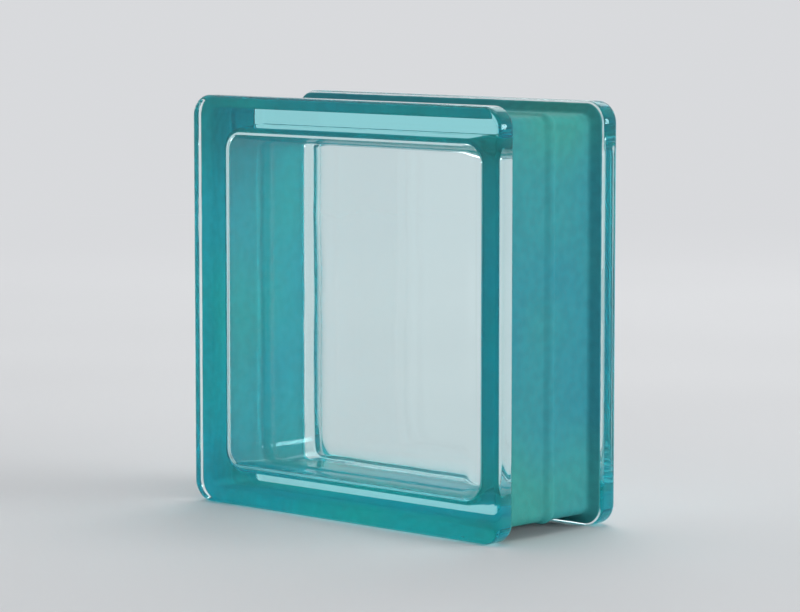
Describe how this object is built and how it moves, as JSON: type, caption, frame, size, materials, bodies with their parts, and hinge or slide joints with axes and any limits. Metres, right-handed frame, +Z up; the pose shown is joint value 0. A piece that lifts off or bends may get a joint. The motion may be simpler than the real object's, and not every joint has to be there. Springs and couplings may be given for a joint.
{
  "type": "hollow glass block",
  "caption": "Square hollow glass block with clear smooth panes, a key groove round its edges and a teal coat in the groove.",
  "frame": {"origin": "middle of the bottom edge, on the surface that the block stands on", "axes": "+Z up, +X along the width, +Y from the front pane to the back pane, through the depth"},
  "size_m": [0.19, 0.08, 0.19],
  "materials": {
    "clear_glass": "gloss",
    "teal_coat": "matte"
  },
  "bodies": {
    "root": {"front_half": "clear_glass", "back_half": "clear_glass", "edge_coat": "teal_coat"}
  },
  "joints": []
}
